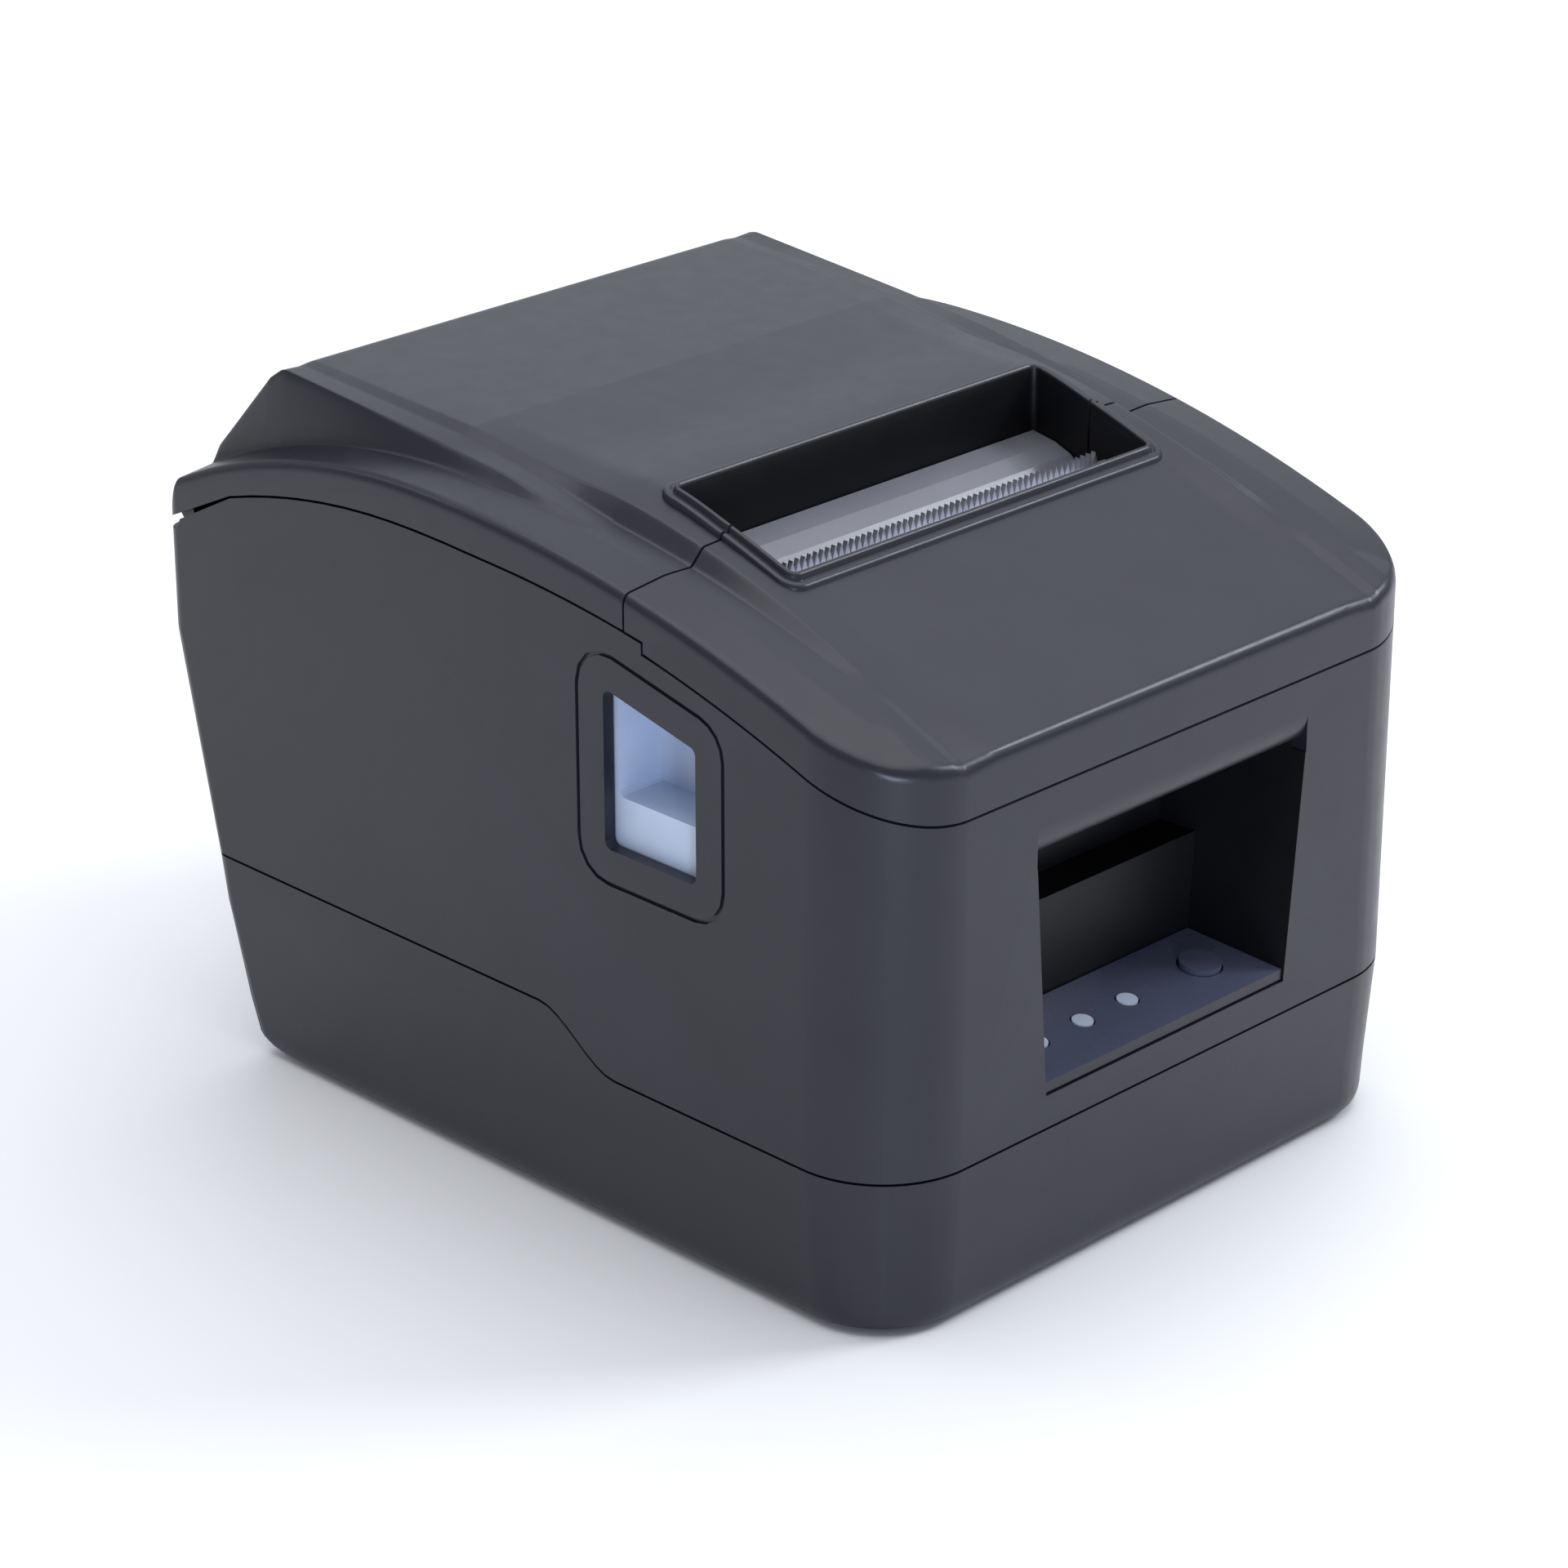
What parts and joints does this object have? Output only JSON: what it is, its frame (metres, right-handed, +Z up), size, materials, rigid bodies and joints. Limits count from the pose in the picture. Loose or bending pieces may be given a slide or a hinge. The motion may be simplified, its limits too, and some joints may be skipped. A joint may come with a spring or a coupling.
{
  "type": "receipt printer",
  "caption": "Desktop thermal receipt printer with a hinged paper lid, cutter, tear bar, side lever, front recess with lamps and feed button, and rear sockets.",
  "frame": {"origin": "centre of the bounding box's bottom face, on the stand surface under the rubber feet", "axes": "+X to the right of a person who faces the printer's front, +Y from the front to the back, +Z up"},
  "size_m": [0.145, 0.188, 0.1379],
  "materials": {
    "case_black": "fine satin texture, dark charcoal",
    "lever_blue_grey": "satin, pale blue grey",
    "panel_navy": "semi-gloss, dark navy",
    "lens_white": "translucent white",
    "guide_grey": "smooth dark grey",
    "steel_sheet": "zinc-plated sheet",
    "bright_steel": "ground and polished",
    "aluminium": "extruded",
    "platen_rubber": "ground rubber",
    "foot_rubber": "matt rubber",
    "gear_nylon": "natural nylon",
    "bush_acetal": "smooth acetal",
    "board_green": "solder mask",
    "socket_black": "moulded",
    "socket_shell": "plated sheet",
    "motor_can": "satin can"
  },
  "bodies": {
    "printer": {"base_shell": "case_black", "middle_shell": "case_black", "front_cover": "case_black", "paper_bucket": "case_black", "control_panel": "panel_navy", "status_lamp_1": "lens_white", "status_lamp_2": "lens_white", "status_lamp_3": "lens_white", "head_cable": "lens_white", "tear_bar": "guide_grey", "thermal_head": "guide_grey", "chassis": "steel_sheet", "cutter_frame": "steel_sheet", "case_screw_1": "steel_sheet", "case_screw_2": "steel_sheet", "case_screw_3": "steel_sheet", "case_screw_4": "steel_sheet", "hinge_pin_left": "bright_steel", "hinge_pin_right": "bright_steel", "idler_axle": "bright_steel", "head_spring_left": "bright_steel", "head_spring_right": "bright_steel", "head_heatsink": "aluminium", "rubber_foot_1": "foot_rubber", "rubber_foot_2": "foot_rubber", "rubber_foot_3": "foot_rubber", "rubber_foot_4": "foot_rubber", "main_board": "board_green", "power_socket": "socket_black", "drawer_socket": "socket_black", "power_switch_frame": "socket_black", "board_capacitor": "socket_black", "board_processor": "socket_black", "buzzer": "socket_black", "usb_socket": "socket_shell", "network_socket": "socket_shell", "feed_motor": "motor_can", "cutter_motor": "motor_can"},
    "lid": {"paper_lid": "case_black", "counter_blade": "bright_steel", "paper_guide": "guide_grey", "platen_bush_left": "bush_acetal", "platen_bush_right": "bush_acetal"},
    "platen": {"platen_roller": "platen_rubber", "platen_shaft": "bright_steel", "platen_gear": "gear_nylon"},
    "idler": {"idler_gear": "gear_nylon"},
    "pinion": {"motor_pinion": "bright_steel", "motor_shaft": "bright_steel"},
    "latch": {"open_lever": "lever_blue_grey", "latch_shaft": "steel_sheet", "latch_hook_left": "steel_sheet", "latch_hook_right": "steel_sheet"},
    "feed_key": {"feed_button": "panel_navy"},
    "power_key": {"power_rocker": "socket_black"},
    "moving_blade": {"cutter_blade": "bright_steel"},
    "crank": {"cutter_crank": "gear_nylon"}
  },
  "joints": [
    {"name": "lid_hinge", "type": "hinge", "parent": "printer", "child": "lid", "pos_m": [0, 0.0919, 0.1069], "axis": [-1, 0, 0], "range_deg": [0, 80]},
    {"name": "platen_spin", "type": "hinge", "parent": "lid", "child": "platen", "pos_m": [0, -0.0275, 0.1045], "axis": [1, 0, 0], "continuous": true},
    {"name": "idler_spin", "type": "hinge", "parent": "printer", "child": "idler", "pos_m": [0, -0.0275, 0.08788], "axis": [1, 0, 0], "continuous": true},
    {"name": "pinion_spin", "type": "hinge", "parent": "printer", "child": "pinion", "pos_m": [0, -0.03675, 0.07468], "axis": [1, 0, 0], "continuous": true},
    {"name": "latch_swing", "type": "hinge", "parent": "printer", "child": "latch", "pos_m": [0, -0.038, 0.052], "axis": [1, 0, 0], "range_deg": [0, 8], "stiffness_Nm_per_rad": 0.5, "springref_deg": -5.73},
    {"name": "feed_press", "type": "slide", "parent": "printer", "child": "feed_key", "axis": [0, 0.1219, -0.9925], "range_m": [0, 0.0008], "stiffness_N_per_m": 300, "springref_m": -0.0005},
    {"name": "power_rock", "type": "hinge", "parent": "printer", "child": "power_key", "pos_m": [0.0665, 0.061, 0.022], "axis": [0, 0, 1], "range_deg": [-12, 0]},
    {"name": "blade_stroke", "type": "slide", "parent": "printer", "child": "moving_blade", "axis": [0, 1, 0], "range_m": [0, 0.008]},
    {"name": "crank_turn", "type": "hinge", "parent": "printer", "child": "crank", "pos_m": [0, -0.06, 0.106], "axis": [0, 0, 1], "range_deg": [0, 180]}
  ],
  "couplings": [
    {"joint": "idler_spin", "follows": "platen_spin", "ratio": -0.32},
    {"joint": "pinion_spin", "follows": "platen_spin", "ratio": 1.1429},
    {"joint": "crank_turn", "follows": "blade_stroke", "rad_per_m": 392.6}
  ]
}
